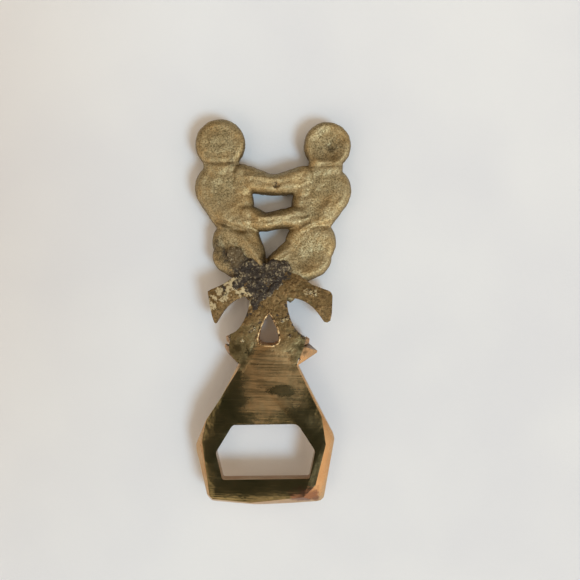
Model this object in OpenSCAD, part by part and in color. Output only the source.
// Cast brass bottle opener with twin toddler figures, lying face down.
// The figures are one rough sand casting with a dished back. They are soft
// soldered to a flat, polished opener plate with drooping scroll arms, a
// moulded collar, a ring hole and a blade with a crown cap window.
// +Y runs from the blade to the heads, +Z out of the back face, and Z = 0 is
// the table that the heads and the collar rest on.

/* [Overall] */

// Length from the end of the blade to the top of the heads
overall_len = 123; // [108:0.5:140]
// Width across the outer shoulders of the two figures
body_span = 50.4; // [45:0.1:56]
// Height of the flat back face above the table
back_h = 9; // [8.4:0.1:10.5]

/* [Opener plate] */

// Thickness of the plate
plate_t = 4; // [3.2:0.1:4.8]
// Length of the blade, from the waist to its end
blade_len = 44.4; // [40:0.2:50]
// Widest width of the blade
blade_w = 44.5; // [41:0.1:50]
// Width of the blade across its end
blade_end_w = 37.2; // [33:0.1:42]
// Width of the waist between the collar and the blade
waist_w = 19.4; // [16:0.1:23]
// How far one widest corner sits below the other, from hand filing
corner_skew = 3.8; // [0:0.1:5]
// Width of the bevel around the back of the blade
bevel_w = 2.6; // [1.5:0.1:3.2]
// Depth of that bevel
bevel_h = 2.7; // [1.5:0.1:3]

/* [Neck and arms] */

// Length of the neck, from the waist to the root of the arms
neck_len = 21.4; // [18:0.2:25]
// Width of the neck under the arms
neck_w = 11; // [9.4:0.1:13]
// Width across the points of the lower collar ring
collar_w = 29.8; // [26:0.1:34]
// Width across the corners of the drooping arms
arm_span = 39.8; // [36:0.1:44]
// Drop of each arm's tip below its root
arm_drop = 7.8; // [6:0.1:9]

/* [Openings] */

// Widest width of the crown cap window
window_w = 31.5; // [29:0.1:33]
// Height of the crown cap window
window_h = 17.4; // [16:0.1:19]
// Rail left below the window
end_rail = 8.4; // [7:0.1:10]
// Turn of the window in the blade, in degrees
window_turn = 2; // [0:0.5:3]
// Width of the teardrop ring hole
ring_hole_w = 6.4; // [5.8:0.1:7.2]
// Height of the teardrop ring hole
ring_hole_h = 9.8; // [8.8:0.1:11]

/* [Figures] */

// Diameter of the larger head
head_d = 16.3; // [14.5:0.1:18]
// Diameter of the smaller head
small_head_d = 15.4; // [14:0.1:17]
// Diameter of each shoulder
shoulder_d = 16.9; // [15.5:0.1:18.5]
// Width of the clasped arms
arm_w = 7; // [6.4:0.1:7.6]
// Depth of the dish in each head
dish_depth = 1; // [0.6:0.1:1.4]

/* [Solder] */

// Rise of the solder above the back face
solder_rise = 0.8; // [0.5:0.1:1.2]
// Diameter of the largest stray bead
bead_d = 2; // [1.4:0.1:2.4]

/* [Hidden] */

$fn = 96;
// facets of the free-form castings, and of their small features
cast_fn = 18;
fine_fn = 12;
fine_r = 3;
// cutter overrun
eps = 0.5;

// levels along the part
top_y = overall_len / 2;
end_y = -top_y;
waist_y = end_y + blade_len;
arm_y = waist_y + neck_len;
fig_h = top_y - arm_y;

// levels through the part
front_z = back_h - plate_t;
mid_z = back_h / 2;
cast_top = back_h;
neck_relief = 0.6;

// blade outline
blade_r = blade_w / 2;
end_r = blade_end_w / 2;
waist_r = waist_w / 2;
corner_y = waist_y - 0.55 * blade_len;
end_bow = 1.1;
land_h = plate_t - bevel_h;

// window
win_y = end_y + end_rail + window_h / 2;
win_top_r = 0.33 * window_w;
win_end_r = 0.44 * window_w;
win_fillet = 1.1;

// neck and arms
neck_r = neck_w / 2;
arm_r = arm_span / 2;
collar_r = collar_w / 2;
collar_y = waist_y + 4.6;
ring_gap = 3.2;
hub_r = 0.76 * collar_r;
ring_hole_drop = 5.1;
tab_h = 0.16 * fig_h;

// figures, as shares of the half span and of the figures' height
half_span = body_span / 2;
head_r = head_d / 2;
small_head_r = small_head_d / 2;
shoulder_r = shoulder_d / 2;
shoulder_x = half_span - shoulder_r;
belly_r = 0.25 * half_span;
arm_half = arm_w / 2;

// Height in the figures as a share of their height above the arms' root.
function fy(share) = arm_y + share * fig_h;
// Distance across the figures as a share of the half span.
function fx(share) = share * half_span;
// Point at t on the curve through a and c that leans towards b.
function bend(a, b, c, t) = (1 - t) * (1 - t) * a + 2 * t * (1 - t) * b + t * t * c;
// The curve as a list of points, without its last one.
function sweep(a, b, c, n = 10) = [for (i = [0:n - 1]) bend(a, b, c, i / n)];
// The points mirrored across the middle, in the opposite order.
function flip(p) = [for (i = [len(p) - 1:-1:0]) [-p[i].x, p[i].y]];

// ---------- opener plate ----------

module blade_front_outline()
  polygon([
    [waist_r, waist_y + eps], [waist_r, waist_y],
    [blade_r - 0.4, corner_y + corner_skew / 2 + 1.6], [blade_r - 0.2, corner_y + corner_skew / 2],
    [end_r, end_y + end_bow], [0.55 * end_r, end_y + 0.3], [0, end_y], [-0.8 * end_r, end_y + 0.4],
    [-end_r, end_y + 1.8 * end_bow], [-blade_r, corner_y - corner_skew / 2],
    [-blade_r + 0.9, corner_y + corner_skew / 2], [-waist_r, waist_y], [-waist_r, waist_y + eps]
  ]);

module blade_back_outline()
  polygon([
    [waist_r - 0.6, waist_y + eps], [waist_r - 0.6, waist_y],
    [blade_r - 1.4 * bevel_w, corner_y + corner_skew], [end_r - 0.8 * bevel_w, end_y + 3 * bevel_w],
    [end_r - 2 * bevel_w, end_y + 1.6 * bevel_w], [0.1 * end_r, end_y + 0.8 * bevel_w],
    [-end_r + bevel_w, end_y + 0.5 * bevel_w], [-end_r + 0.4 * bevel_w, end_y + bevel_w],
    [-blade_r + bevel_w, corner_y - corner_skew], [-blade_r + bevel_w, corner_y + corner_skew],
    [-waist_r + 0.6, waist_y], [-waist_r + 0.6, waist_y + eps]
  ]);

// Six-sided window with lightly filed corners.
module window_outline()
  translate([0, win_y]) rotate(window_turn)
    polygon([
      [win_top_r - win_fillet, window_h / 2], [win_top_r, window_h / 2 - 0.4 * win_fillet],
      [win_top_r + win_fillet, window_h / 2 - 1.9 * win_fillet],
      [window_w / 2, 0], [win_end_r, -window_h / 2 + 0.6], [win_end_r - 0.6, -window_h / 2],
      [-win_end_r + 0.6, -window_h / 2], [-win_end_r, -window_h / 2 + 0.6], [-window_w / 2, 0],
      [-win_top_r - 0.2, window_h / 2 - 0.4], [-win_top_r + 0.3, window_h / 2]
    ]);

module blade()
  difference() {
    hull() {
      translate([0, 0, front_z]) linear_extrude(land_h) blade_front_outline();
      translate([0, 0, back_h - 0.1]) linear_extrude(0.1) blade_back_outline();
    }
    translate([0, 0, front_z - eps]) linear_extrude(plate_t + 2 * eps) window_outline();
  }

// Right half of the neck, arms and tab, from the waist up.
function half_outline() = concat(
  [[waist_r - 0.6, waist_y], [hub_r - 0.6, collar_y - 2.2], [hub_r, collar_y + 1], [hub_r, collar_y + 3.6]],
  sweep([hub_r - 0.3, collar_y + 4.4], [neck_r + 0.5, collar_y + 6.4], [neck_r, arm_y]),
  sweep([neck_r, arm_y], [0.62 * arm_r, arm_y + 0.4], [arm_r - 2.2, arm_y - arm_drop + 0.6]),
  [[arm_r - 1.6, arm_y - arm_drop], [arm_r - 0.4, arm_y - arm_drop + 1.4], [arm_r, arm_y + 1.6]],
  sweep([arm_r - 0.6, arm_y + 2], [0.75 * arm_r, arm_y + 4], [0.6 * arm_r, arm_y + 0.55 * tab_h]),
  [[0.5 * arm_r, arm_y + 0.85 * tab_h], [0.24 * arm_r, arm_y + tab_h]]
);

// Whole outline of the neck, arms and tab.
module neck_outline() polygon(concat(half_outline(), flip(half_outline())));

// Turned collar ring that swells in the middle and ends in a blunt point at each side.
module collar_ring(y, root, reach, tip)
  translate([0, y, root]) for (s = [-1, 1])
    rotate([0, s * 90, 0]) {
      cylinder(h = reach - tip, r1 = root, r2 = 0.45 * root);
      translate([0, 0, reach - tip]) cylinder(h = tip, r1 = 0.45 * root, r2 = 0.12 * root);
    }

// Right side of the teardrop above its round bottom.
function drop_side() = concat(
  [[0.48 * ring_hole_w, 0.36 * ring_hole_w]],
  sweep([0.48 * ring_hole_w, 0.55 * ring_hole_w], [0.3 * ring_hole_w, 0.7 * ring_hole_h],
        [0.2, ring_hole_h], 5)
);

// Ring hole through the neck, pointed towards the figures.
module teardrop()
  translate([0, arm_y - ring_hole_drop - ring_hole_h]) {
    intersection() {
      translate([0, 1.25 * ring_hole_w]) circle(1.25 * ring_hole_w);
      translate([0, 0.45 * ring_hole_w]) circle(0.51 * ring_hole_w);
    }
    polygon(concat(drop_side(), [[0, ring_hole_h]], flip(drop_side())));
  }

module opener_plate()
  color("DarkGoldenrod")
    difference() {
      union() {
        blade();
        translate([0, 0, front_z - neck_relief])
          linear_extrude(plate_t + neck_relief) neck_outline();
        intersection() {
          union() {
            collar_ring(collar_y, back_h / 2, collar_r, 2.6);
            translate([0, 0, 0.16 * back_h])
              collar_ring(collar_y + ring_gap, 0.33 * back_h, 0.9 * collar_r, 1.2);
          }
          translate([-collar_r, waist_y, 0]) cube([collar_w, neck_len, 0.84 * back_h]);
        }
      }
      translate([0, 0, -eps]) linear_extrude(back_h + 2 * eps) teardrop();
    }

// ---------- figure casting ----------

// Flattened ball: place on the part, radius, half thickness and height.
// Each is turned by its own place, so that no two share a facet.
module ball(x, y, r, half_t = mid_z, z = mid_z)
  translate([x, y, z]) scale([1, 1, half_t / r])
    rotate([2 * x + 17 * r, 3 * y + 11 * half_t, x + y])
      sphere(r, $fn = r < fine_r ? fine_fn : cast_fn);

// One limb as the skin over two balls.
module limb(x1, y1, r1, x2, y2, r2, half_t = 3.6, z = 5)
  hull() {
    ball(x1, y1, r1, half_t, z);
    ball(x2, y2, r2, half_t, z);
  }

// Seated toddler on side s, with the radius of the head and of the thigh.
module toddler(s, h_r, thigh_r) {
  head_y = top_y - h_r;
  head_x = fx(0.687) - 0.15 * s;
  // head and neck
  ball(s * head_x, head_y, h_r, mid_z, mid_z);
  limb(s * (head_x - 0.3), head_y - 0.42 * h_r, 0.72 * h_r, s * shoulder_x, fy(0.66), 0.66 * shoulder_r);
  // torso and belly
  limb(s * shoulder_x, fy(0.612), shoulder_r, s * fx(0.5), fy(0.44), belly_r, 4.4, 5.2);
  ball(s * fx(0.49), fy(0.53), belly_r + 0.1, 4.1, 4.4);
  ball(s * fx(0.44), fy(0.62), 0.77 * belly_r, 3.8, 4.9);
  // face: cheeks, chin, nose, brow, eyes and ears
  for (c = [-1, 1]) {
    ball(s * head_x + c * 0.36 * h_r, head_y - 0.26 * h_r, 0.28 * h_r, 1.2, 1.5);
    ball(s * head_x + c * 0.33 * h_r, head_y + 0.07 * h_r, 0.13 * h_r, 0.7, 0.9);
    ball(s * head_x + c * 0.82 * h_r, head_y - 0.08 * h_r, 0.17 * h_r, 1.4, 3.4);
  }
  ball(s * head_x, head_y - 0.1 * h_r, 0.12 * h_r, 0.9, 0.75);
  ball(s * head_x, head_y - 0.56 * h_r, 0.2 * h_r, 1, 1.6);
  limb(s * head_x - 0.5 * h_r, head_y + 0.46 * h_r, 0.3 * h_r,
       s * head_x + 0.42 * h_r, head_y + 0.52 * h_r, 0.32 * h_r, 1.3, 1.5);
  // thigh, knee and lower leg
  ball(s * (fx(0.767) - thigh_r), fy(0.31), thigh_r, 4.2, 4.8);
  limb(s * fx(0.52), fy(0.23), 0.84 * thigh_r, s * fx(0.3), fy(0.13), fx(0.15), 3.6, 5.4);
}

// Left leg, which runs under the belly to the middle.
module left_leg() {
  limb(-fx(0.39), fy(0.33), fx(0.235), -fx(0.25), fy(0.24), fx(0.18), 4, 5.1);
  limb(-fx(0.26), fy(0.235), fx(0.17), -fx(0.1), fy(0.1), fx(0.11), 3.7, 5.3);
  limb(-fx(0.27), fy(0.16), fx(0.15), fx(0.04), fy(0.07), fx(0.1), 2.4, 3.6);
  limb(fx(0.03), fy(0.07), 2.8, fx(0.1), fy(0.015), 2.2, 1.9, 2.4);
}

// Right leg, which folds in from a wider thigh.
module right_leg() {
  limb(fx(0.44), fy(0.3), fx(0.25), fx(0.22), fy(0.16), fx(0.17), 3.9, 5.2);
  limb(fx(0.23), fy(0.16), fx(0.165), fx(0.02), fy(0.15), fx(0.12), 3.5, 5.6);
  limb(fx(0.25), fy(0.27), fx(0.14), fx(0.035), fy(0.203), fx(0.1), 3.5, 5.4);
  limb(fx(0.3), fy(0.14), fx(0.16), fx(0.01), fy(0.09), fx(0.11), 2.5, 3.3);
  limb(-fx(0.02), fy(0.085), 2.7, -fx(0.11), fy(0.03), 2.1, 1.8, 2.1);
}

// Linked arms that sag from the shoulders to the middle.
module linked_arms() {
  for (s = [-1, 1]) {
    limb(s * fx(0.4), fy(0.672), 1.28 * arm_half, s * 1.6, fy(0.638), arm_half, 3.9 + 0.2 * s, 5.3);
  }
  limb(-fx(0.36), fy(0.452), 1.25 * arm_half, -fx(0.08), fy(0.423), 0.84 * arm_half, 3.7, 5.4);
  limb(-fx(0.09), fy(0.425), 0.86 * arm_half, fx(0.13), fy(0.447), 0.88 * arm_half, 3.5, 5.5);
  limb(fx(0.12), fy(0.446), 0.9 * arm_half, fx(0.38), fy(0.46), 1.14 * arm_half, 3.8, 5.3);
  // hands that hold the other's arm
  for (s = [-1, 1]) {
    ball(s * fx(0.13), fy(0.64), 0.92 * arm_half, 1.9, 1.9);
    limb(s * fx(0.42), fy(0.66), arm_half, s * fx(0.15), fy(0.642), 0.76 * arm_half, 2, 2.2);
    limb(s * fx(0.3), fy(0.46), 0.8 * arm_half, s * fx(0.1), fy(0.434), 0.66 * arm_half, 1.9, 2.3);
  }
}

// Hollow pressed into the back by the casting pattern.
module dish(x, y, r, depth) ball(x, y, r, depth, cast_top + 0.05);

module figures_raw() {
  toddler(-1, head_r, 0.28 * half_span);
  ball(fx(0.515), fy(0.32), 0.315 * half_span, 4, 5);
  toddler(1, small_head_r, 0.3 * half_span);
  left_leg();
  right_leg();
  linked_arms();
}

module figure_casting()
  color("Peru")
    difference() {
      intersection() {
        figures_raw();
        translate([-body_span, arm_y - fig_h, -eps]) cube([2 * body_span, 3 * fig_h, cast_top + eps]);
      }
      dish(-fx(0.687), top_y - head_r, 0.74 * head_r, 0.6 * dish_depth);
      dish(fx(0.687), top_y - small_head_r + 0.4, 0.7 * small_head_r, 1.5 * dish_depth);
      for (s = [-1, 1]) dish(s * fx(0.6), fy(0.59), 0.7 * shoulder_r, (0.7 + 0.1 * s) * dish_depth);
      dish(fx(0.38), fy(0.29), 0.56 * shoulder_r, 1.1 * dish_depth);
      dish(-fx(0.52), fy(0.3), 0.5 * shoulder_r, 0.6 * dish_depth);
      // seat for the plate
      translate([0, 0, front_z - neck_relief]) linear_extrude(back_h) neck_outline();
    }

// ---------- solder ----------

// Runs of solder over the seam: [across, along, radius].
solder_runs = [
  [[-0.46, 0.235, 2.4], [-0.33, 0.16, 3.1]], [[-0.3, 0.15, 3.6], [-0.12, 0.12, 4.2]],
  [[-0.09, 0.115, 4], [0.16, 0.17, 2.4]], [[-0.2, 0.08, 3.9], [-0.1, 0.02, 2.6]],
  [[-0.34, 0.1, 2.3], [-0.44, 0.06, 1.5]], [[0.03, 0.19, 1.6], [0.12, 0.12, 2.2]],
  [[-0.15, 0.03, 2.1], [-0.2, -0.05, 1.3]], [[-0.4, 0.2, 1.9], [-0.2, 0.17, 2.2]],
  [[0.1, 0.08, 1.7], [-0.02, 0.03, 1.9]]
];

module solder_joint()
  color("DimGray")
    intersection() {
      for (run = solder_runs)
        hull() for (p = run)
          ball(fx(p[0]), fy(p[1]), p[2], 0.2 + solder_rise, back_h - 0.2);
      translate([-body_span / 2, arm_y - fig_h, back_h])
        cube([body_span, 2 * fig_h, plate_t]);
    }

// Stray beads on the back of the plate: share of the half span, share of the neck, size.
beads = [
  [-0.2, 0.542, 1], [-0.24, 0.5, 0.7], [-0.335, 0.364, 0.8], [0.16, 0.673, 0.9],
  [0.215, 0.7, 0.7], [0.26, 0.449, 0.7], [0.5, 1.11, 1], [0.56, 1.08, 0.8], [-0.575, 1.04, 1]
];

module solder_spatter()
  color("Silver")
    for (b = beads)
      translate([fx(b[0]), waist_y + b[1] * neck_len, back_h])
        intersection() {
          sphere(b[2] * bead_d / 2, $fn = cast_fn);
          cylinder(h = bead_d, r = bead_d);
        }

opener_plate();
figure_casting();
solder_joint();
solder_spatter();
